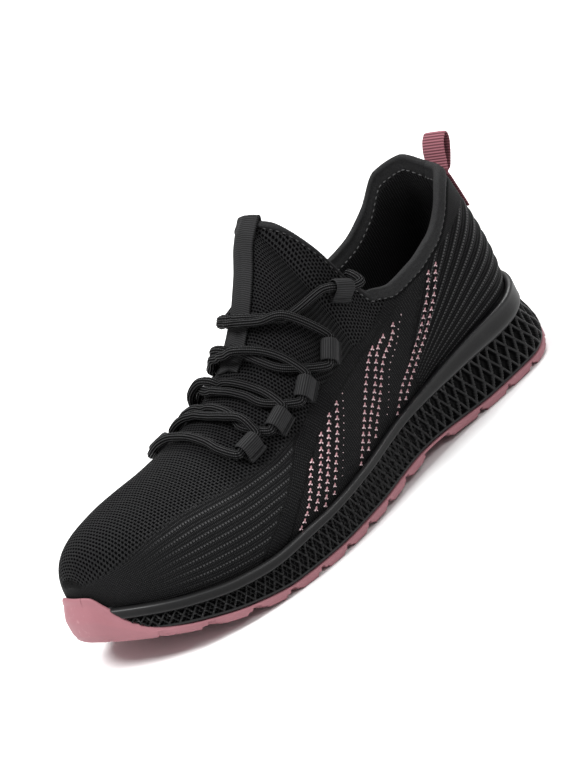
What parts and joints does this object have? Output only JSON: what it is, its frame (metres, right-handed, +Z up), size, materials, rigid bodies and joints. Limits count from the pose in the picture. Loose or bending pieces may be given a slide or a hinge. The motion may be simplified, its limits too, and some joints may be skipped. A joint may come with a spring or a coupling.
{
  "type": "safety sneaker",
  "caption": "Left safety sneaker with a one-piece knitted upper, round lace in webbing loops, lattice foam midsole, rubber outsole with toe bumper and heel pull loop.",
  "frame": {"origin": "centre of the bounding box on the floor plane under the sole", "axes": "+Z up, toe towards -Y, heel towards +Y, +X towards the outer side of the left foot"},
  "size_m": [0.1046, 0.2844, 0.1334],
  "materials": {
    "pink_rubber": "matte moulded rubber",
    "black_foam": "satin moulded foam",
    "black_knit": "ribbed and open knit",
    "black_lining": "brushed lining",
    "pink_webbing": "ribbed grosgrain webbing",
    "black_webbing": "ribbed grosgrain webbing",
    "black_cord": "braided elastic cord"
  },
  "bodies": {
    "root": {"outsole": "pink_rubber", "midsole": "black_foam", "upper": "black_knit", "insole": "black_lining", "tongue_tab": "black_webbing", "heel_pull_loop": "pink_webbing", "lace_loop_outer_1": "black_webbing", "lace_loop_outer_2": "black_webbing", "lace_loop_outer_3": "black_webbing", "lace_loop_outer_4": "black_webbing", "lace_loop_outer_5": "black_webbing", "lace_loop_inner_1": "black_webbing", "lace_loop_inner_2": "black_webbing", "lace_loop_inner_3": "black_webbing", "lace_loop_inner_4": "black_webbing", "lace_loop_inner_5": "black_webbing", "lace": "black_cord"}
  },
  "joints": []
}
